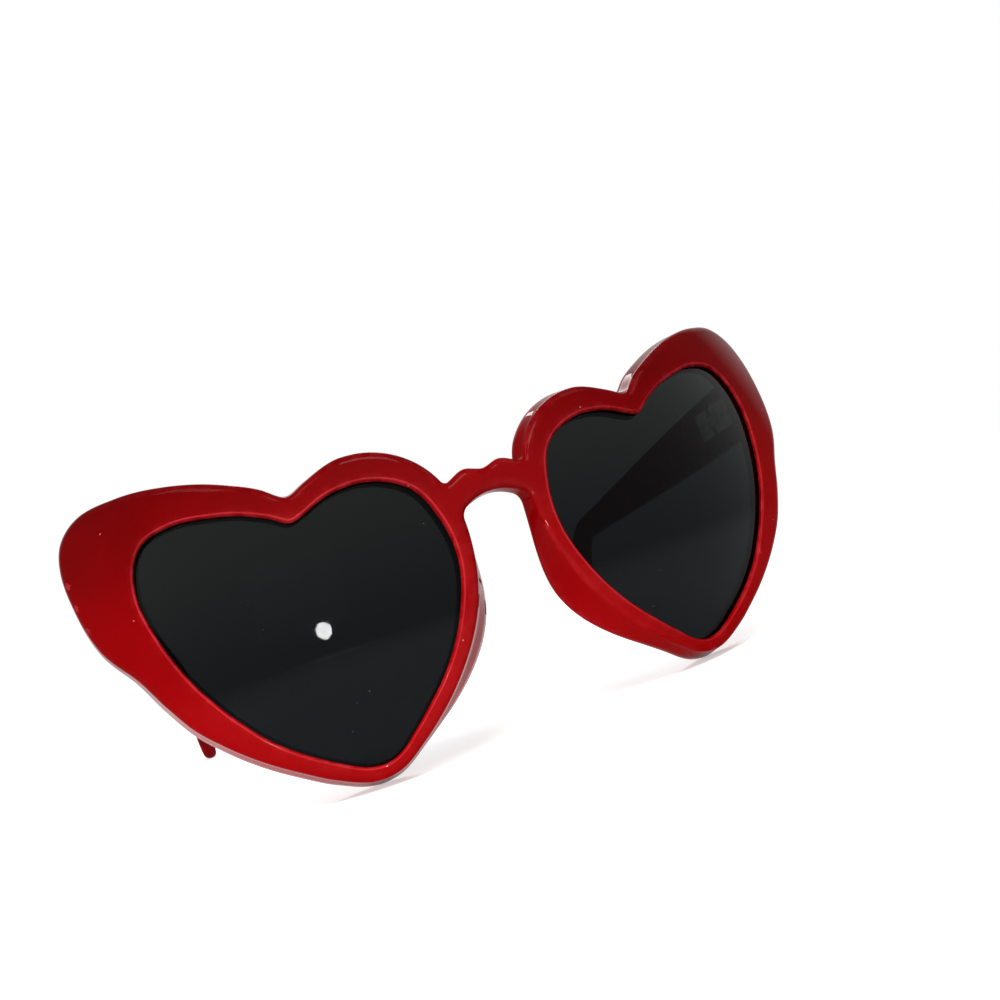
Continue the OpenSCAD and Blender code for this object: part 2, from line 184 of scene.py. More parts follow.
def noise(tree, coords, scale, detail, roughness=0.5, distortion=0.0):
    return addNode(tree, "ShaderNodeTexNoise", Vector=coords, Scale=scale, Detail=detail, Roughness=roughness,
                   Distortion=distortion).outputs["Fac"]


def maskGroup(name, **values):
    # group that reads coordinates and a few numbers and puts out one mask
    tree = bpy.data.node_groups.new(name, "ShaderNodeTree")
    tree.interface.new_socket("Vector", in_out="INPUT", socket_type="NodeSocketVector")
    for label, value in values.items():
        tree.interface.new_socket(label, in_out="INPUT", socket_type="NodeSocketFloat").default_value = value
    tree.interface.new_socket("Mask", in_out="OUTPUT", socket_type="NodeSocketFloat")
    return tree, tree.nodes.new("NodeGroupInput").outputs, tree.nodes.new("NodeGroupOutput").inputs["Mask"]


def placeGroup(tree, group, **inputs):
    return addNode(tree, "ShaderNodeGroup", {"node_tree": group}, **inputs).outputs[0]


def emptyMaterial(name):
    mat = bpy.data.materials.new(name)
    mat.use_nodes = True
    mat.node_tree.nodes.clear()
    return mat, mat.node_tree


# effects shared by the finishes

def fineScratchGroup():
    tree, given, mask = maskGroup("fineScratches", Scale=900.0, Amount=0.5)
    parts = []
    for turn, stretch in ((0.5, 30.0), (1.9, 22.0)):
        turned = addNode(tree, "ShaderNodeMapping", Vector=given["Vector"],
                         Rotation=(turn, 0.3 * turn, turn * 1.7), Scale=(1.0, stretch, 1.0))
        parts.append(mapRange(tree, noise(tree, turned.outputs[0], given["Scale"], 1.5), 0.70, 0.78))
    crossed = maths(tree, "MAXIMUM", *parts)
    patches = mapRange(tree, noise(tree, given["Vector"], 55.0, 2.0), 0.46, 0.68)
    tree.links.new(maths(tree, "MULTIPLY", maths(tree, "MULTIPLY", crossed, patches), given["Amount"]), mask)
    return tree


def dustGroup():
    tree, given, mask = maskGroup("dustSpecks", Scale=700.0, Size=0.12, Share=0.06)
    cells = addNode(tree, "ShaderNodeTexVoronoi", {"feature": "F1"}, Vector=given["Vector"], Scale=given["Scale"],
                    Randomness=1.0)
    near = maths(tree, "LESS_THAN", cells.outputs["Distance"], given["Size"])
    pick = addNode(tree, "ShaderNodeSeparateColor", Color=cells.outputs["Color"])
    few = maths(tree, "LESS_THAN", pick.outputs[0], given["Share"])
    tree.links.new(maths(tree, "MULTIPLY", near, few), mask)
    return tree


def smudgeGroup():
    tree, given, mask = maskGroup("softSmudges", Scale=90.0)
    bend = noise(tree, given["Vector"], given["Scale"], 4.0, 0.6, 1.2)
    tree.links.new(mapRange(tree, bend, 0.45, 0.75, smooth=True), mask)
    return tree


# lighter sharp edges by pointiness, broken up: worn edges on the steel, a painted highlight on the red plastic
def edgeWearGroup():
    tree, given, mask = maskGroup("edgeWearAndPaintedHighlight", Width=0.03, Breakup=500.0)
    pointed = addNode(tree, "ShaderNodeNewGeometry").outputs["Pointiness"]
    edge = mapRange(tree, pointed, 0.505, maths(tree, "ADD", 0.5, given["Width"]))
    broken = mapRange(tree, noise(tree, given["Vector"], given["Breakup"], 3.0), 0.4, 0.62)
    tree.links.new(maths(tree, "MULTIPLY", edge, broken), mask)
    return tree


scratches = fineScratchGroup()
dust = dustGroup()
smudges = smudgeGroup()
edgeWearAndPaintedHighlight = edgeWearGroup()


# finishes

redFinish = {
    # deep and bright are a shaded and a lit copy of the red, mixed by painted light and shade and by random
    # unevenness
    "deep": (0.076, 0.0002, 0.0006, 1), "bright": (0.300, 0.0005, 0.0014, 1),
    "paintedShadeAbove": 0.060, "paintedLightBelow": 0.012, "paintedShadeBehind": -0.052, "paintedLightBefore": -0.064, "leastPaintedLightBehind": 0.32,
    "unevenScale": 38.0, "unevenShare": 0.25,
    "flake": (0.52, 0.008, 0.014, 1), "flakeScale": 5200.0, "flakeSize": 0.42, "flakeShare": 0.30,
    "flakeFade": 0.05,
    # edge is a paler pink painted on the sharp edges as a highlight
    "edge": (0.72, 0.055, 0.070, 1), "paintedEdgeHighlightWidth": 0.05, "paintedEdgeHighlightBreakup": 420.0, "paintedEdgeHighlightFade": 0.25,
    # polished is the paler red of the painted highlight line on the bevel round each lens
    "paintedBevelHighlightRed": (0.60, 0.030, 0.044, 1), "paintedBevelHighlightLeast": 0.10, "paintedBevelHighlightMost": 0.75,
    "dust": (0.36, 0.13, 0.13, 1), "dustScale": 620.0, "dustSize": 0.085, "dustShare": 0.045,
    "scratchScale": 240.0, "scratchAmount": 0.6, "scratchRough": 0.3, "scratchDeep": -0.25,
    "hazeScale": 70.0, "hazeRough": 0.07, "roughness": 0.24,
    "rippleScale": 120.0, "bump": 0.05, "bumpHigh": 0.0006,
    "specular": 0.0, "ior": 1.42, "coatRoughness": 0.03,
    "gloss": ((0.0, 0.15), (0.12, 0.10), (0.30, 0.04), (0.68, 0.035), (0.88, 0.42)),
}


def redPlasticMaterial():
    look = redFinish
    mat, tree = emptyMaterial("candyRedPlastic")
    coords = addNode(tree, "ShaderNodeTexCoord").outputs["Object"]
    # painted light and shade: the red is painted brightest low down on the front and deeper above and behind,
    # where less light falls, and is also a little uneven all over
    cloud = noise(tree, coords, look["unevenScale"], 3.0, 0.55)
    uneven = maths(tree, "MULTIPLY", mapRange(tree, cloud, 0.3, 0.7), look["unevenShare"])
    place = addNode(tree, "ShaderNodeSeparateXYZ", Vector=coords).outputs
    low = mapRange(tree, place["Z"], look["paintedShadeAbove"], look["paintedLightBelow"])
    paintedLightAhead = mapRange(tree, place["Y"], look["paintedShadeBehind"], look["paintedLightBefore"], look["leastPaintedLightBehind"])
    bright = maths(tree, "MULTIPLY_ADD", maths(tree, "MULTIPLY", low, paintedLightAhead), 1 - look["unevenShare"], uneven)
    colour = mixColours(tree, bright, look["deep"], look["bright"])
    flakes = placeGroup(tree, dust, Vector=coords, Scale=look["flakeScale"], Size=look["flakeSize"],
                        Share=look["flakeShare"])
    colour = mixColours(tree, maths(tree, "MULTIPLY", flakes, look["flakeFade"]), colour, look["flake"])
    # painted highlight: paler pink on the sharp edges, broken up
    wearAndPaintedHighlight = placeGroup(tree, edgeWearAndPaintedHighlight, Vector=coords, Width=look["paintedEdgeHighlightWidth"], Breakup=look["paintedEdgeHighlightBreakup"])
    colour = mixColours(tree, maths(tree, "MULTIPLY", wearAndPaintedHighlight, look["paintedEdgeHighlightFade"]), colour, look["edge"])
    # painted highlight: the bevel round each lens is painted as a paler line than the face
    paintedBevelHighlight = addNode(tree, "ShaderNodeAttribute", {"attribute_name": "paintedBevelHighlight"}).outputs["Fac"]
    paintedBevelHighlightBreak = mapRange(tree, cloud, 0.36, 0.64, look["paintedBevelHighlightLeast"], look["paintedBevelHighlightMost"])
    colour = mixColours(tree, maths(tree, "MULTIPLY", paintedBevelHighlight, paintedBevelHighlightBreak), colour, look["paintedBevelHighlightRed"])
    specks = placeGroup(tree, dust, Vector=coords, Scale=look["dustScale"], Size=look["dustSize"],
                        Share=look["dustShare"])
    colour = mixColours(tree, specks, colour, look["dust"])
    lines = placeGroup(tree, scratches, Vector=coords, Scale=look["scratchScale"], Amount=look["scratchAmount"])
    hazes = placeGroup(tree, smudges, Vector=coords, Scale=look["hazeScale"])
    hazeRough = maths(tree, "MULTIPLY_ADD", hazes, look["hazeRough"], look["roughness"])
    rough = maths(tree, "MULTIPLY_ADD", lines, look["scratchRough"], hazeRough)
    ripple = noise(tree, coords, look["rippleScale"], 2.0)
    relief = maths(tree, "MULTIPLY_ADD", lines, look["scratchDeep"], ripple)
    bump = addNode(tree, "ShaderNodeBump", Height=relief, Strength=look["bump"], Distance=look["bumpHigh"])
    # the clear skin is thin on faces seen at a middling angle and shows at the very edge
    facing = addNode(tree, "ShaderNodeLayerWeight", Blend=0.5)
    gloss = addNode(tree, "ShaderNodeValToRGB", Fac=facing.outputs["Facing"])
    ramp = gloss.color_ramp
    while len(ramp.elements) < len(look["gloss"]):
        ramp.elements.new(0.5)
    for stop, (at, value) in zip(ramp.elements, look["gloss"]):
        stop.position = at
        stop.color = (value, value, value, 1)
    shader = addNode(tree, "ShaderNodeBsdfPrincipled", Base_Color=colour, Roughness=rough, Normal=bump.outputs[0],
                     IOR=look["ior"], Metallic=0.0, Specular_IOR_Level=look["specular"],
                     Coat_Weight=gloss.outputs[0], Coat_IOR=look["ior"], Coat_Roughness=look["coatRoughness"])
    addNode(tree, "ShaderNodeOutputMaterial", Surface=shader.outputs[0])
    return mat


lensFinish = {
    # top is the lighter tint and bottom the tint with painted shade, low down on the lens
    "top": (0.0125, 0.0140, 0.0138, 1), "bottom": (0.0045, 0.0056, 0.0066, 1),
    "paintedShadeLow": 0.022, "paintedShadeHigh": 0.050,
    "dust": (0.10, 0.105, 0.11, 1), "dustScale": 480.0, "dustSize": 0.07, "dustShare": 0.05, "dustRough": 0.4,
    "scratchScale": 180.0, "scratchAmount": 0.35, "scratchRough": 0.12,
    "hazeScale": 48.0, "hazeRough": 0.05, "roughness": 0.012, "bump": 0.02, "bumpHigh": 0.0004, "ior": 1.14,
}


def smokeLensMaterial():
    look = lensFinish
    mat, tree = emptyMaterial("smokeLensGlass")
    coords = addNode(tree, "ShaderNodeTexCoord").outputs["Object"]
    hazes = placeGroup(tree, smudges, Vector=coords, Scale=look["hazeScale"])
    lines = placeGroup(tree, scratches, Vector=coords, Scale=look["scratchScale"], Amount=look["scratchAmount"])
    specks = placeGroup(tree, dust, Vector=coords, Scale=look["dustScale"], Size=look["dustSize"],
                        Share=look["dustShare"])
    hazeRough = maths(tree, "MULTIPLY_ADD", hazes, look["hazeRough"], look["roughness"])
    lineRough = maths(tree, "MULTIPLY_ADD", lines, look["scratchRough"], hazeRough)
    rough = maths(tree, "MULTIPLY_ADD", specks, look["dustRough"], lineRough)
    # painted shade: the tint is painted darker from the top of the lens to the bottom
    place = addNode(tree, "ShaderNodeSeparateXYZ", Vector=coords).outputs
    paintedShadeTopShare = mapRange(tree, place["Z"], look["paintedShadeLow"], look["paintedShadeHigh"], smooth=True)
    tint = mixColours(tree, specks, mixColours(tree, paintedShadeTopShare, look["bottom"], look["top"]), look["dust"])
    bump = addNode(tree, "ShaderNodeBump", Height=hazes, Strength=look["bump"], Distance=look["bumpHigh"])
    shader = addNode(tree, "ShaderNodeBsdfPrincipled", Base_Color=tint, Roughness=rough, Normal=bump.outputs[0],
                     IOR=look["ior"], Metallic=0.0, Transmission_Weight=1.0)
    addNode(tree, "ShaderNodeOutputMaterial", Surface=shader.outputs[0])
    return mat


metalFinish = {
    "steel": (0.60, 0.59, 0.57, 1), "worn": (0.78, 0.77, 0.75, 1), "wornWidth": 0.08, "wornBreakup": 1500.0,
    "grime": (0.16, 0.14, 0.12, 1), "grimeScale": 420.0, "grimeFade": 0.45,
    "grainStretch": (400.0, 60.0, 6000.0), "grainRough": 0.18, "roughness": 0.26,
    "scratchScale": 700.0, "scratchAmount": 1.0, "scratchRough": 0.15, "bump": 0.12, "bumpHigh": 0.00008,
}


def hingeMetalMaterial():
    look = metalFinish
    mat, tree = emptyMaterial("hingeSteel")
    coords = addNode(tree, "ShaderNodeTexCoord").outputs["Object"]
    brushed = addNode(tree, "ShaderNodeMapping", Vector=coords, Scale=look["grainStretch"])
    grain = noise(tree, brushed.outputs[0], 1.0, 3.0, 0.6)
    lines = placeGroup(tree, scratches, Vector=coords, Scale=look["scratchScale"], Amount=look["scratchAmount"])
    wearAndPaintedHighlight = placeGroup(tree, edgeWearAndPaintedHighlight, Vector=coords, Width=look["wornWidth"], Breakup=look["wornBreakup"])
    dirt = placeGroup(tree, smudges, Vector=coords, Scale=look["grimeScale"])
    grimy = mixColours(tree, maths(tree, "MULTIPLY", dirt, look["grimeFade"]), look["steel"], look["grime"])
    colour = mixColours(tree, wearAndPaintedHighlight, grimy, look["worn"])
    grainRough = maths(tree, "MULTIPLY_ADD", grain, look["grainRough"], look["roughness"])
    rough = maths(tree, "MULTIPLY_ADD", lines, look["scratchRough"], grainRough)
    bump = addNode(tree, "ShaderNodeBump", Height=grain, Strength=look["bump"], Distance=look["bumpHigh"])
    shader = addNode(tree, "ShaderNodeBsdfPrincipled", Base_Color=colour, Roughness=rough, Normal=bump.outputs[0],
                     Metallic=1.0)
    addNode(tree, "ShaderNodeOutputMaterial", Surface=shader.outputs[0])
    return mat


redPlastic = redPlasticMaterial()
smokeLens = smokeLensMaterial()
hingeSteel = hingeMetalMaterial()
print("finishes made")


# mesh helpers

def makeMesh(name, points, faces, material, smoothDeg=40, paintedBevelHighlight=None):
    mesh = bpy.data.meshes.new(name)
    mesh.from_pydata([tuple(p) for p in toRow(points)], [], [tuple(int(i) for i in f) for f in faces])
    if paintedBevelHighlight is not None:
        mesh.attributes.new("paintedBevelHighlight", "FLOAT", "POINT").data.foreach_set("value", np.asarray(paintedBevelHighlight, float))
    work = bmesh.new()
    work.from_mesh(mesh)
    bmesh.ops.remove_doubles(work, verts=work.verts, dist=2e-7)
    bmesh.ops.recalc_face_normals(work, faces=work.faces)
    work.to_mesh(mesh)
    work.free()
    mesh.materials.append(material)
    mesh.shade_smooth()
    mesh.set_sharp_from_angle(angle=math.radians(smoothDeg))
    obj = bpy.data.objects.new(name, mesh)
    bpy.context.scene.collection.objects.link(obj)
    return obj


def mirrorShell(shell):
    points, faces = shell
    flipped = np.array(points, float)
    flipped[:, 0] *= -1
    return flipped, [tuple(reversed(f)) for f in faces]


def evenLoop(points, spacing, closed):
    p = np.vstack([points, points[:1]]) if closed else np.asarray(points)
    steps = np.concatenate([[0], np.cumsum(np.linalg.norm(np.diff(p, axis=0), axis=1))])
    count = max(int(round(steps[-1] / spacing)), 3)
    at = np.linspace(0, steps[-1], count + 1)
    even = np.column_stack([np.interp(at, steps, p[:, 0]), np.interp(at, steps, p[:, 1])])
    return even[:-1] if closed else even


def roundCorner(path, index, reach, steps=14):
    p = np.asarray(path)
    walk = np.concatenate([[0], np.cumsum(np.linalg.norm(np.diff(p, axis=0), axis=1))])
    before = np.searchsorted(walk, walk[index] - reach)
    after = np.searchsorted(walk, walk[index] + reach)
    t = np.linspace(0, 1, steps)[:, None]
    arc = (1 - t) ** 2 * p[before] + 2 * t * (1 - t) * p[index] + t ** 2 * p[after]
    return np.vstack([p[:before], arc, p[after + 1:]])


def loopDirections(loop):
    t = np.roll(loop, -1, 0) - np.roll(loop, 1, 0)
    return t / np.linalg.norm(t, axis=1)[:, None]


def smoothLoop(values, rounds):
    v = np.array(values, float)
    for _ in range(rounds):
        v = 0.25 * np.roll(v, 1) + 0.5 * v + 0.25 * np.roll(v, -1)
    return v


def insideLoop(points, loop):
    x, y = points[:, 0][:, None], points[:, 1][:, None]
    x0, y0 = loop[:, 0][None, :], loop[:, 1][None, :]
    x1, y1 = np.roll(loop[:, 0], -1)[None, :], np.roll(loop[:, 1], -1)[None, :]
    crosses = ((y0 > y) != (y1 > y)) & (x < (x1 - x0) * (y - y0) / np.where(y1 == y0, 1e-12, y1 - y0) + x0)
    return crosses.sum(1) % 2 == 1


def fillFlat(outer, holes, spacing):
    # flat faces between an outer loop and holes: loop points first, then points on an even lattice
    rowShare, clearShare = 0.866, 0.55
    loops = [outer] + holes
    edge = np.vstack(loops)
    low, high = outer.min(0), outer.max(0)
    rows = np.arange(low[1], high[1], spacing * rowShare)
    grid = np.array([[x + (spacing / 2 if k % 2 else 0), v] for k, v in enumerate(rows)
                     for x in np.arange(low[0], high[0], spacing)])
    keep = insideLoop(grid, outer)
    for hole in holes:
        keep &= ~insideLoop(grid, hole)
    grid = grid[keep]
    near = np.array([np.min(np.sum((edge - g) ** 2, axis=1)) for g in grid])
    grid = grid[near > (spacing * clearShare) ** 2]
    everything = np.vstack([edge, grid])
    edges, start = [], 0
    for loop in loops:
        n = len(loop)
        edges += [(start + i, start + (i + 1) % n) for i in range(n)]
        start += n
    result = delaunay_2d_cdt([Vector((float(p[0]), float(p[1]))) for p in everything], edges, [], 0, 1e-5)
    flat = np.array([tuple(v) for v in result[0]])
    source = [o[0] if o else -1 for o in result[3]]
    tris = np.array([t for t in result[2] if len(t) == 3])
    middle = flat[tris].mean(1)
    keep = insideLoop(middle, outer)
    for hole in holes:
        keep &= ~insideLoop(middle, hole)
    tris = [tuple(source[i] for i in t) for t in tris[keep] if min(source[i] for i in t) >= 0]
    return everything, tris


# the moulded front

bridge = {
    "top": 14.0, "high": 4.9, "dip": 0.8, "fall": 1.5, "hump": 0.42, "arch": 3.2, "bite": 0.95, "depth": 5.0,
    "halfLong": 8.5, "corner": 1.5, "notch": 0.8,
}
pad = {"angle": 205.0, "run": 40.0, "out": 1.9, "reach": 2.6}


def depthAt(x):
    return front["depth"] - (front["depth"] - bridge["depth"]) * (1 - ease(np.abs(x) / bridge["halfLong"]))


def aroundHeart(flat):
    # angle and reach round the middle of the nearer heart
    along = front["curve"] * np.arcsin(np.abs(flat[:, 0]) / front["curve"]) - heartMiddle
    return np.degrees(np.arctan2(flat[:, 1], along)), np.hypot(along, flat[:, 1])


def padAt(angle):
    return ease(1 - np.abs(np.mod(angle, 360) - pad["angle"]) / pad["run"])


def backDepth(flat):
    angle, reach = aroundHeart(flat)
    inner, outer = lensAt(angle), frameAt(angle)
    return depthAt(flat[:, 0]) + pad["reach"] * padAt(angle) * np.clip((reach - inner) / (outer - inner), 0, 1)


def bridgeTop(f):
    # two humps with a dip between them
    dip = bridge["dip"] * (1 - ease(f / bridge["hump"]))
    fall = bridge["fall"] * ease((f - bridge["hump"]) / (1 - bridge["hump"]))
    return bridge["top"] - np.where(f < bridge["hump"], dip, fall)


def frontOutline(spacing):
    # clockwise as the viewer sees it, from the top middle of the bridge
    half = front["gap"] / 2 + bridge["bite"]
    f = np.linspace(0, 1, 260)  # share of the way out from the middle of the bridge
    top = np.column_stack([half * f, bridgeTop(f)])
    low = np.column_stack([half * f, bridge["top"] - bridge["high"] - bridge["arch"] * f * f])

    def enters(line):
        # first point of the line inside the heart, and its angle
        along = front["curve"] * np.arcsin(line[:, 0] / front["curve"]) - heartMiddle
        angle = np.degrees(np.arctan2(line[:, 1], along))
        inside = np.hypot(along, line[:, 1]) < frameAt(angle)
        first = int(np.argmax(inside))
        return first, float(angle[first])

    iTop, aTop = enters(top)
    iLow, aLow = enters(low)
    angles = np.arange(aTop, aLow - 360, -0.25)
    heart = heartPoints(angles, frameAt(angles))
    path = np.vstack([top[:iTop], heart, low[:iLow][::-1]])
    path = roundCorner(path, iTop + len(heart) - 1, bridge["corner"])
    path = roundCorner(path, iTop, bridge["notch"])
    halfPath = evenLoop(path, spacing, False)
    halfPath[0, 0] = 0
    halfPath[-1, 0] = 0
    return np.vstack([halfPath, halfPath[-2:0:-1] * [-1, 1]])


def openingLoop(spacing):
    angles = np.arange(0, 360, 0.2)
    return evenLoop(heartPoints(angles, lensAt(angles)), spacing, True)


def widthTo(points, others):
    return np.array([math.sqrt(np.min(np.sum((others - p) ** 2, axis=1))) for p in points])


def raised(flat, depth):
    return np.column_stack([flat[:, 0], sphereBack(flat[:, 0], flat[:, 1]) + depth, flat[:, 1]])


def slant(flat):
    # how much a step along the curve shows across
    return np.column_stack([np.sqrt(1 - (flat[:, 0] / front["curve"]) ** 2), np.ones(len(flat))])


def stripFaces(starts, n):
    faces = []
    for a, b in zip(starts[:-1], starts[1:]):
        faces += [(a + i, a + (i + 1) % n, b + (i + 1) % n, b + i) for i in range(n)]
    return faces


def quarterTurn(steps):
    # sine and cosine from 0 to 90 degrees
    return [(math.sin(math.radians(k)), math.cos(math.radians(k))) for k in np.linspace(0, 90, steps)]


def rimRings(outline, toLens):
    # inset, outset and depth of each ring round the outside: front edge, side wall, back edge
    width = smoothLoop(np.minimum(toLens, front["widthMost"]), 30)
    edgeIn = smoothLoop(np.minimum(front["edgeIn"], width * front["edgeShare"]), 20)
    edgeBack = smoothLoop(np.minimum(front["edgeBack"], width * front["backShare"]), 20)
    backRound = np.minimum(front["backRound"], width * front["roundShare"])
    angle = aroundHeart(outline)[0]
    flare = front["flare"] * ease((np.abs(outline[:, 0]) - front["flareFrom"]) / front["flareOver"])
    flare = flare + pad["out"] * padAt(angle)
    deep = depthAt(outline[:, 0]) + pad["reach"] * padAt(angle)
    rings = [(edgeIn * (1 - s), flare * 0, edgeBack * (1 - c) ** 1.05) for s, c in quarterTurn(11)]
    rings += [(flare * 0, flare * f, edgeBack + (deep - backRound - edgeBack) * f) for f in (0.25, 0.5, 0.75)]
    rings += [(backRound * (1 - c), flare, deep - backRound * (1 - s)) for s, c in quarterTurn(7)]
    radial = np.column_stack([np.sign(outline[:, 0]) * np.cos(np.radians(angle)), np.sin(np.radians(angle))])
    return rings, radial


def openingProfile(loop, toRim):
    # inset and depth of each ring round a lens opening: front bevel, groove for the lens, back bevel
    grooveIn = front["lensBite"] + front["lensClear"]
    grooveFront = front["lensRecess"] - front["lensClear"]
    grooveBack = front["lensRecess"] + front["lensThick"] + front["lensClear"]
    bevel = smoothLoop(np.minimum(front["bevel"], toRim * front["bevelShare"]), 12)
    zero = np.zeros(len(loop))
    deep = depthAt(loop[:, 0])
    profile = [(bevel * (1 - s), bevel * (1 - c)) for s, c in quarterTurn(6)]
    profile += [(zero, zero + grooveFront), (zero + grooveIn, zero + grooveFront),
                (zero + grooveIn, zero + grooveBack), (zero, zero + grooveBack),
                (zero, (deep - bevel + grooveBack) / 2)]
    return profile + [(bevel * (1 - c), deep - bevel * (1 - s)) for s, c in quarterTurn(6)]


def frontShell():
    outline = frontOutline(front["edgeStep"])
    opening = openingLoop(front["edgeStep"])
    openings = [opening, (opening * [-1, 1])[::-1]]
    points, faces, paintedBevelHighlight, count = [], [], [], 0

    t = loopDirections(outline)
    outward = np.column_stack([-t[:, 1], t[:, 0]])
    rings, radial = rimRings(outline, widthTo(outline, np.vstack(openings)))
    starts, flatRings = [], []
    for inset, outset, depth in rings:
        flat = outline + (radial * outset[:, None] - outward * inset[:, None]) * slant(outline)
        flatRings.append(flat)
        points.append(raised(flat, depth))
        paintedBevelHighlight.append(np.zeros(len(outline)))
        starts.append(count)
        count += len(outline)
    faces += stripFaces(starts, len(outline))

    frontHoles, backHoles = [], []
    for loop in openings:
        t = loopDirections(loop)
        into = np.column_stack([t[:, 1], -t[:, 0]])
        starts, holeRings = [], []
        for k, (inset, depth) in enumerate(openingProfile(loop, widthTo(loop, outline))):
            flat = loop + into * inset[:, None] * slant(loop)
            holeRings.append(flat)
            points.append(raised(flat, depth))
            paintedBevelHighlight.append(np.full(len(loop), 1.0 if k == 1 else 0.0))  # the first ring of the bevel carries the painted highlight line
            starts.append(count)
            count += len(loop)
        frontHoles.append(holeRings[0])
        backHoles.append(holeRings[-1])
        faces += [tuple(reversed(f)) for f in stripFaces(starts, len(loop))]

    for outer, holes, isBack in ((flatRings[0], frontHoles, False), (flatRings[-1], backHoles, True)):
        flat, tris = fillFlat(outer, holes, front["fillStep"])
        points.append(raised(flat, backDepth(flat) if isBack else np.zeros(len(flat))))
        paintedBevelHighlight.append(np.zeros(len(flat)))
        faces += [tuple(i + count for i in (reversed(tri) if isBack else tri)) for tri in tris]
        count += len(flat)
    return np.vstack(points), faces, np.concatenate(paintedBevelHighlight)


def roundedBox(halfWide, halfHigh, radius, arcSteps=7, sideSteps=3):
    # points of a rounded rectangle, counter-clockwise
    radius = min(radius, halfWide * 0.98, halfHigh * 0.98)
    points = []
    for corner, (sx, sy) in enumerate(((1, 1), (-1, 1), (-1, -1), (1, -1))):
        cx, cy = sx * (halfWide - radius), sy * (halfHigh - radius)
        for k in range(arcSteps + 1):
            a = math.radians(90 * corner + 90 * k / arcSteps)
            points.append((cx + radius * math.cos(a), cy + radius * math.sin(a)))
        nx, ny = ((-1, 1), (-1, -1), (1, -1), (1, 1))[corner]
        ex, ey = nx * (halfWide - radius), ny * (halfHigh - radius)
        a = math.radians(90 * (corner + 1))
        p0 = np.array(points[-1])
        p1 = np.array((ex + radius * math.cos(a), ey + radius * math.sin(a)))
        for k in range(1, sideSteps + 1):
            points.append(tuple(p0 + (p1 - p0) * k / (sideSteps + 1)))
    return np.array(points)


def tube(rings):
    n = len(rings[0])
    points = np.vstack(rings)
    faces = stripFaces([i * n for i in range(len(rings))], n)
    faces.append(tuple(reversed(range(n))))
    faces.append(tuple(range((len(rings) - 1) * n, len(rings) * n)))
    return points, faces


block = {"steps": 16, "grow": 0.9, "growWide": 0.35, "growLong": 1.5, "edge": 1.3, "endRound": 0.35,
         "endFrom": 0.955, "sunk": 0.55}


def cornerBlockShell():
    # block between the back of the rim and the hinge, flush with the temple, wider where it leaves the rim
    rings = []
    last = hingeBack - temple["buttGap"] / 2
    midX = seatX + temple["thick"] / 2
    for f in np.linspace(0, 1, block["steps"]):
        grow = (1 - ease(f * block["growLong"])) * block["grow"]
        inset = block["endRound"] * max(0, (f - block["endFrom"]) / (1 - block["endFrom"])) ** 2
        section = roundedBox(temple["thick"] / 2 + grow * block["growWide"] - inset,
                             temple["rootHigh"] / 2 + grow - inset, block["edge"])
        x = midX - grow * block["growWide"] + section[:, 0]
        up = hingeUp + section[:, 1]
        start = sphereBack(x, up) + front["depth"] * block["sunk"]
        rings.append(np.column_stack([x, start + (last - start) * f, up]))
    return tube(rings)


def roundCutter(name, left, radius, low, high, sides=64):
    # upright cylinder on the axis of the hinge
    middle = hingeX if left else -hingeX
    a = np.linspace(0, 2 * math.pi, sides, endpoint=False)
    rings = [np.column_stack([middle + radius * np.cos(a), hingeBack + radius * np.sin(a), np.full(sides, up)])
             for up in (low, high)]
    return makeMesh(name, *tube(rings), redPlastic)


def knuckleCutter(left):
    low = hingeUp - hinge["high"] / 2 - hinge["clear"]
    high = low + hinge["high"] + hinge["screwHeadHigh"] + 2 * hinge["clear"] + 0.2
    return roundCutter("knuckleCutter", left, hinge["knuckle"] + hinge["clear"], low, high)


def coveCutter(left):
    # hollow corner of the block, where the inner edge of the temple turns
    radius = math.hypot(seatX - hingeX, temple["buttGap"] / 2) + hinge["clear"]
    reach = temple["rootHigh"] / 2 + 0.5
    return roundCutter("coveCutter", left, radius, hingeUp - reach, hingeUp + reach)


def applyModifiers(obj):
    bpy.context.view_layer.update()
    graph = bpy.context.evaluated_depsgraph_get()
    mesh = bpy.data.meshes.new_from_object(obj.evaluated_get(graph))
    obj.modifiers.clear()
    obj.data = mesh
    return obj


def combine(obj, others, operation):
    # exact boolean with each of the others, which are then removed
    for other in others:
        mod = obj.modifiers.new("combine", "BOOLEAN")
        mod.operation = operation
        mod.solver = "EXACT"
        mod.object = other
    applyModifiers(obj)
    for other in others:
        bpy.data.objects.remove(other)
    obj.data.set_sharp_from_angle(angle=math.radians(38))
    return obj


frontPoints, frontFaces, frontPaintedBevelHighlight = frontShell()
plate = makeMesh("redFront", frontPoints, frontFaces, redPlastic, 38, frontPaintedBevelHighlight)
blockOne = cornerBlockShell()
blocks = [makeMesh("rightBlock", *mirrorShell(blockOne), redPlastic, 38),
          makeMesh("leftBlock", *blockOne, redPlastic, 38)]
for piece, left in zip(blocks, (False, True)):
    combine(piece, [knuckleCutter(left), coveCutter(left)], "DIFFERENCE")
combine(plate, blocks, "UNION")
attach(plate, "front")
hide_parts("front_frame")
print("front made:", len(plate.data.polygons), "faces")


# lenses

lensShape = {"step": 1.0, "rings": 34, "corner": 0.2, "cornerShare": 0.006}


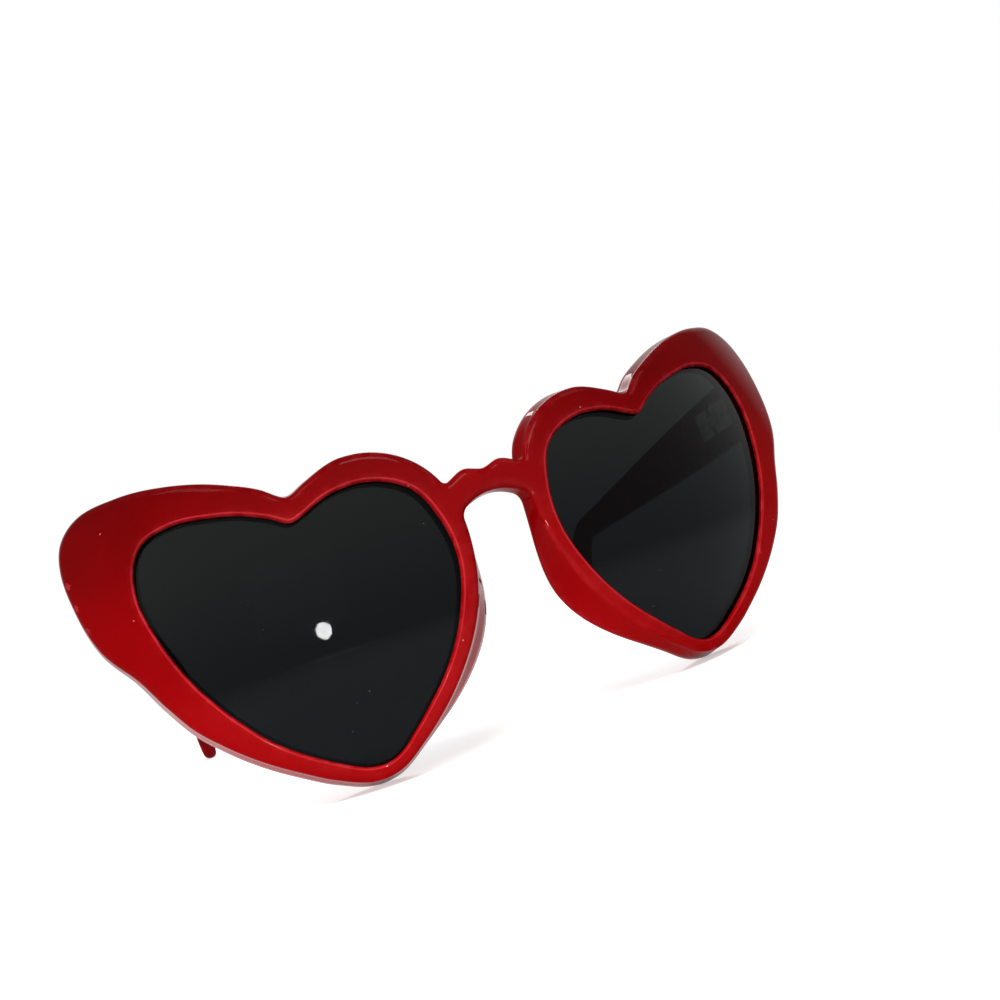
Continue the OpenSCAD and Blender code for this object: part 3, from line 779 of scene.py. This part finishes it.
def lensShell():
    angles = np.arange(0, 360, lensShape["step"])
    n = len(angles)
    edge = lensAt(angles) + front["lensBite"]
    near, far = front["lensRecess"], front["lensRecess"] + front["lensThick"]
    corner, last = lensShape["corner"], 1.0 - lensShape["cornerShare"]
    shares = list(np.linspace(0, 1, lensShape["rings"])[1:-1])
    rows = [(s, near) for s in shares]
    rows += [(last, near), (1.0, near + corner), (1.0, far - corner), (last, far)]
    rows += [(s, far) for s in reversed(shares)]
    points = [raised(heartPoints(angles, edge * share), depth) for share, depth in rows]
    starts = [k * n for k in range(len(rows))]
    faces = stripFaces(starts, n)
    points += [raised(heartPoints([0], np.array([0.0])), depth) for depth in (near, far)]
    a, b = starts[-1] + n, starts[-1] + n + 1
    faces += [(a, (i + 1) % n, i) for i in range(n)]
    faces += [(b, starts[-1] + i, starts[-1] + (i + 1) % n) for i in range(n)]
    return np.vstack(points), faces


lensOne = lensShell()
for name, shell, node in (("leftLensGlass", lensOne, "left_lens"),
                          ("rightLensGlass", mirrorShell(lensOne), "right_lens")):
    lens = makeMesh(name, *shell, smokeLens, 50)
    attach(lens, "front")
    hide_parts(node)
print("lenses made")


# temples

bend, droop, slantAngle = (math.radians(temple[key]) for key in ("bendDeg", "droopDeg", "slantDeg"))
bendLong = temple["bendRadius"] * bend
templeLong = temple["straight"] + bendLong + temple["tip"]


def templeMiddle(s):
    # place of the middle line at a length along the temple, and its slope
    b = min(max(s - temple["straight"], 0), bendLong) / temple["bendRadius"]
    tail = max(s - temple["straight"] - bendLong, 0)
    back = min(s, temple["straight"]) + temple["bendRadius"] * math.sin(b) + tail * math.cos(bend)
    down = temple["bendRadius"] * (1 - math.cos(b)) + tail * math.sin(bend)
    return (hingeBack + back * math.cos(droop) - down * math.sin(droop),
            hingeUp - down * math.cos(droop) - back * math.sin(droop), b + droop)


def templeHigh(s):
    narrowing = float(ease(s / (temple["straight"] * temple["taper"] * 2)))
    widening = float(ease((s - temple["straight"]) / (bendLong + temple["tip"])))
    flat = temple["rootHigh"] + (temple["waistHigh"] - temple["rootHigh"]) * narrowing
    flat = flat + (temple["tipHigh"] - temple["waistHigh"]) * widening
    left = max(templeLong - s, 0) / temple["tipRound"]
    return flat if left >= 1 else flat * math.sqrt(max(1 - (1 - left) ** (2 + temple["square"]), 0))


def templeShell():
    # rounded sections along the middle line, thinner and slanted at the ear end
    start = temple["buttGap"] / 2
    stations = [(start + along, inset) for along, inset in temple["buttRound"]]
    stations += [(s, 0.0) for s in np.linspace(start + temple["buttLong"], templeLong - temple["tipRound"],
                                               temple["steps"])]
    stations += [(templeLong - temple["tipRound"] * (1 - i / temple["tipSteps"]) ** 1.7, 0.0)
                 for i in range(1, temple["tipSteps"] + 1)]
    rings = []
    for s, inset in stations:
        back, up, turn = templeMiddle(s)
        high = max(templeHigh(s), 0.25) / 2 - inset
        left = min((templeLong - s) / temple["tipThin"], 1)
        slim = 1 - temple["thinBy"] * (1 - math.sqrt(max(1 - (1 - left) ** 2, 0)))
        late = float(ease((s - templeLong + temple["tip"]) / temple["tip"]))
        section = roundedBox(temple["thick"] / 2 * slim - inset, high,
                             temple["edge"] + (temple["tipEdge"] - temple["edge"]) * late)
        further = section[:, 1] * late * math.tan(slantAngle)
        rings.append(np.column_stack([seatX + temple["thick"] / 2 + section[:, 0],
                                      back + section[:, 1] * math.sin(turn) + further * math.cos(turn),
                                      up + section[:, 1] * math.cos(turn) - further * math.sin(turn)]))
    return tube(rings)


templeOne = templeShell()
for name, shell, left, node, body in (
        ("leftTempleArm", templeOne, True, "left_temple", "left_arm"),
        ("rightTempleArm", mirrorShell(templeOne), False, "right_temple", "right_arm")):
    arm = makeMesh(name, *shell, redPlastic, 38)
    combine(arm, [knuckleCutter(left)], "DIFFERENCE")
    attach(arm, body)
    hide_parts(node)
print("temples made")


# hinge leaves keep their solids, with a worn steel finish

for node in ("left_front_leaf", "right_front_leaf", "left_temple_leaf", "right_temple_leaf"):
    for slot in frame["nodes"][node].material_slots:
        slot.link = "OBJECT"
        slot.material = hingeSteel


# slotted screws, set out by Geometry Nodes

screws = {
    "hinge": {"Head Radius": 1.2, "Head Height": 0.6, "Shank Radius": 0.65, "Shank Length": 6.2,
              "Slot Width": 0.3, "Slot Depth": 0.22},
    "leaf": {"Head Radius": 0.9, "Head Height": 0.4, "Shank Radius": 0.5, "Shank Length": 3.55,
             "Slot Width": 0.3, "Slot Depth": 0.22},
    "brimShare": 0.62, "crownRadius": 0.72,
    "turns": {"hinge": (24, 67), "frontLeft": (35, 110), "frontRight": (80, 15),
              "templeLeft": (60, 140), "templeRight": (10, 95)},
}


def screwTree():
    tree = bpy.data.node_groups.new("slottedScrews", "GeometryNodeTree")
    io = tree.interface
    io.new_socket("Places", in_out="INPUT", socket_type="NodeSocketGeometry")
    for label, value in screws["leaf"].items():
        io.new_socket(label, in_out="INPUT", socket_type="NodeSocketFloat").default_value = value
    io.new_socket("Metal", in_out="INPUT", socket_type="NodeSocketMaterial")
    io.new_socket("Geometry", in_out="OUTPUT", socket_type="NodeSocketGeometry")
    given = tree.nodes.new("NodeGroupInput").outputs
    result = tree.nodes.new("NodeGroupOutput").inputs["Geometry"]
    headR, headH = given["Head Radius"], given["Head Height"]
    brimShare = screws["brimShare"]

    def times(value, factor):
        return maths(tree, "MULTIPLY", value, factor)

    def lifted(mesh, z):
        rise = addNode(tree, "ShaderNodeCombineXYZ", Z=z).outputs[0]
        return addNode(tree, "GeometryNodeTransform", Geometry=mesh.outputs["Mesh"], Translation=rise).outputs[0]

    # head: a brim and a bevelled crown, less the slot
    brim = addNode(tree, "GeometryNodeMeshCylinder", {"fill_type": "NGON"}, Vertices=40, Radius=headR,
                   Depth=times(headH, brimShare))
    crown = addNode(tree, "GeometryNodeMeshCone", {"fill_type": "NGON"}, Vertices=40,
                    Radius_Top=times(headR, screws["crownRadius"]), Radius_Bottom=headR,
                    Depth=times(headH, 1 - brimShare))
    head = addNode(tree, "GeometryNodeMeshBoolean", {"operation": "UNION", "solver": "EXACT"})
    tree.links.new(lifted(crown, times(headH, brimShare)), head.inputs["Mesh 2"])
    tree.links.new(lifted(brim, times(headH, brimShare / 2)), head.inputs["Mesh 2"])
    slotSize = addNode(tree, "ShaderNodeCombineXYZ", X=times(headR, 2.4), Y=given["Slot Width"],
                       Z=times(given["Slot Depth"], 2.0))
    slot = addNode(tree, "GeometryNodeMeshCube", Size=slotSize.outputs[0])
    slotted = addNode(tree, "GeometryNodeMeshBoolean", {"operation": "DIFFERENCE", "solver": "EXACT"})
    tree.links.new(head.outputs[0], slotted.inputs["Mesh 1"])
    tree.links.new(lifted(slot, headH), slotted.inputs["Mesh 2"])

    # shank, from just inside the head
    shank = addNode(tree, "GeometryNodeMeshCylinder", {"fill_type": "NGON"}, Vertices=24,
                    Radius=given["Shank Radius"], Depth=given["Shank Length"])
    both = addNode(tree, "GeometryNodeJoinGeometry")
    tree.links.new(slotted.outputs[0], both.inputs[0])
    tree.links.new(lifted(shank, times(given["Shank Length"], -0.499)), both.inputs[0])

    turn = addNode(tree, "GeometryNodeInputNamedAttribute", {"data_type": "FLOAT_VECTOR"}, Name="turn")
    placed = addNode(tree, "GeometryNodeInstanceOnPoints", Points=given["Places"], Instance=both.outputs[0],
                     Rotation=turn.outputs[0], Scale=(0.001, 0.001, 0.001))
    real = addNode(tree, "GeometryNodeRealizeInstances", Geometry=placed.outputs[0])
    done = addNode(tree, "GeometryNodeSetMaterial", Geometry=real.outputs[0], Material=given["Metal"])
    tree.links.new(done.outputs[0], result)
    return tree


screwMaker = screwTree()


def screwPiece(name, places, sizes, body, nodes):
    # each place: (point in millimetres, direction of the head, turn of the slot in degrees)
    mesh = bpy.data.meshes.new(name)
    mesh.from_pydata([tuple(p) for p in toRow([place[0] for place in places])], [], [])
    turn = mesh.attributes.new("turn", "FLOAT_VECTOR", "POINT")
    for i, (_, direction, slotDeg) in enumerate(places):
        upright = Vector((0, 0, 1)).rotation_difference(turnToRow(direction))
        turn.data[i].vector = (upright @ Quaternion((0, 0, 1), math.radians(slotDeg))).to_euler("XYZ")
    obj = bpy.data.objects.new(name, mesh)
    bpy.context.scene.collection.objects.link(obj)
    mod = obj.modifiers.new("screws", "NODES")
    mod.node_group = screwMaker
    named = {item.name: item.identifier for item in screwMaker.interface.items_tree if item.in_out == "INPUT"}
    for label, value in sizes.items():
        mod[named[label]] = value
    mod[named["Metal"]] = hingeSteel
    applyModifiers(obj)
    obj.data.shade_smooth()
    obj.data.set_sharp_from_angle(angle=math.radians(30))
    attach(obj, body)
    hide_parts(*nodes)
    return obj


def leafPlaces(side, direction, slots):
    # two screws in a leaf: side is 1 on the left, direction is -1 for the front leaf and 1 for the temple leaf
    x = side * (seatX - hinge["leafThick"])
    middle = leafStart + hinge["leafLong"] / 2
    return [((x, hingeBack + direction * (middle + k * hinge["leafLong"] / 4), hingeUp), (-side, 0, 0), slotDeg)
            for k, slotDeg in zip((-1, 1), slots)]


turns = screws["turns"]
hingePlaces = [((side * hingeX, hingeBack, hingeUp + hinge["high"] / 2), (0, 0, 1), slotDeg)
               for side, slotDeg in zip((1, -1), turns["hinge"])]
frontPlaces = leafPlaces(1, -1, turns["frontLeft"]) + leafPlaces(-1, -1, turns["frontRight"])
screwPiece("hingeScrews", hingePlaces, screws["hinge"], "front", ["left_hinge_screw", "right_hinge_screw"])
screwPiece("frontLeafScrews", frontPlaces, screws["leaf"], "front",
           ["left_front_leaf_screws", "right_front_leaf_screws"])
screwPiece("leftTempleScrews", leafPlaces(1, 1, turns["templeLeft"]), screws["leaf"], "left_arm",
           ["left_temple_leaf_screws"])
screwPiece("rightTempleScrews", leafPlaces(-1, 1, turns["templeRight"]), screws["leaf"], "right_arm",
           ["right_temple_leaf_screws"])
print("screws made")


# floor, light and camera

stage = {
    "size": 6.0, "floor": (0.86, 0.86, 0.86, 1), "floorGlow": 0.42, "worldLight": 0.34, "whiteFrom": 0.22,
    "whiteTo": 0.60,
}
plainWhite = (1, 1, 1, 1)


def seenRays(tree):
    # 1 for rays from the camera, off gloss and through glass
    path = addNode(tree, "ShaderNodeLightPath").outputs
    seen = maths(tree, "MAXIMUM", path["Is Camera Ray"], path["Is Glossy Ray"])
    return maths(tree, "MAXIMUM", seen, path["Is Transmission Ray"])


def makeFloor():
    # pale floor that keeps the shadow near the object and is seen as plain white further off
    mesh = bpy.data.meshes.new("floor")
    half = stage["size"]
    mesh.from_pydata([(-half, -half, 0), (half, -half, 0), (half, half, 0), (-half, half, 0)], [], [(0, 1, 2, 3)])
    floor = bpy.data.objects.new("floor", mesh)
    bpy.context.scene.collection.objects.link(floor)
    mat, tree = emptyMaterial("paleFloor")
    seen = seenRays(tree)
    diffuse = addNode(tree, "ShaderNodeBsdfDiffuse", Color=stage["floor"])
    glow = addNode(tree, "ShaderNodeEmission", Color=plainWhite,
                   Strength=maths(tree, "MULTIPLY", seen, stage["floorGlow"]))
    both = addNode(tree, "ShaderNodeAddShader", i0=diffuse.outputs[0], i1=glow.outputs[0])
    coords = addNode(tree, "ShaderNodeTexCoord").outputs["Object"]
    distance = addNode(tree, "ShaderNodeVectorMath", {"operation": "LENGTH"}, i0=coords).outputs["Value"]
    farOff = mapRange(tree, distance, stage["whiteFrom"], stage["whiteTo"], smooth=True)
    white = addNode(tree, "ShaderNodeEmission", Color=plainWhite, Strength=1.0)
    mix = addNode(tree, "ShaderNodeMixShader", i0=maths(tree, "MULTIPLY", farOff, seen), i1=both.outputs[0],
                  i2=white.outputs[0])
    addNode(tree, "ShaderNodeOutputMaterial", Surface=mix.outputs[0])
    mesh.materials.append(mat)


def makeWorld():
    # dim where it lights the object, white where it is seen
    world = bpy.data.worlds.new("studio")
    bpy.context.scene.world = world
    world.use_nodes = True
    tree = world.node_tree
    tree.nodes.clear()
    dim = addNode(tree, "ShaderNodeBackground", Color=plainWhite, Strength=stage["worldLight"])
    white = addNode(tree, "ShaderNodeBackground", Color=plainWhite, Strength=1.0)
    mix = addNode(tree, "ShaderNodeMixShader", i0=seenRays(tree), i1=dim.outputs[0], i2=white.outputs[0])
    addNode(tree, "ShaderNodeOutputWorld", Surface=mix.outputs[0])


lamps = {
    "key": {"place": (-0.55, -0.72, 0.22), "size": (0.36, 0.30), "power": 3.0, "shiny": False},
    "front": {"place": (-0.05, -0.52, 0.72), "size": (0.34, 0.22), "power": 2.8, "shiny": True},
    "left": {"place": (-0.48, -0.20, 0.70), "size": (0.26, 0.26), "power": 1.6, "shiny": True},
    "right": {"place": (0.46, -0.24, 0.70), "size": (0.26, 0.26), "power": 1.2, "shiny": True},
    "back": {"place": (0.22, 0.62, 0.62), "size": (0.36, 0.28), "power": 3.2, "shiny": True},
    "glint": {"place": (-0.27, -0.43, 0.045), "size": (0.032, 0.032), "power": 0.46, "shiny": True},
}
lampsAim = (0, -0.06, 0.03)
roundBelow = 0.1  # smaller lamps are round


def areaLight(name, place, size, power, shiny):
    data = bpy.data.lights.new(name, "AREA")
    data.shape = "ELLIPSE" if size[0] < roundBelow else "RECTANGLE"
    data.size, data.size_y = size
    data.energy = power
    lamp = bpy.data.objects.new(name, data)
    lamp.location = place
    lamp.rotation_euler = (Vector(lampsAim) - Vector(place)).to_track_quat("-Z", "Y").to_euler()
    lamp.visible_camera = False
    lamp.visible_glossy = shiny
    bpy.context.scene.collection.objects.link(lamp)


makeFloor()
makeWorld()
for name, values in lamps.items():
    areaLight(name + "Lamp", **values)


# place in millimetres and axes as (across, back, up) of the front, found from the photo
camera = {
    "place": (-43.73, -162.09, -13.57),
    "right": (0.9171, -0.20696, -0.34073), "up": (0.30136, -0.19963, 0.93238),
    "back": (-0.26098, -0.95777, -0.12071), "lens": 37.04, "sensor": 36, "clip": (0.002, 50),
}


def makeCamera():
    data = bpy.data.cameras.new("camera")
    data.sensor_fit = "HORIZONTAL"
    data.sensor_width = camera["sensor"]
    data.lens = camera["lens"]
    data.clip_start, data.clip_end = camera["clip"]
    obj = bpy.data.objects.new("camera", data)
    axes = Matrix([turnToRow(camera[key]).normalized() for key in ("right", "up", "back")]).transposed()
    obj.matrix_world = Matrix.Translation(Vector(toRow([camera["place"]])[0])) @ axes.to_4x4()
    bpy.context.scene.collection.objects.link(obj)
    bpy.context.scene.camera = obj


makeCamera()
bpy.context.scene.view_settings.view_transform = "Standard"
print("studio made")
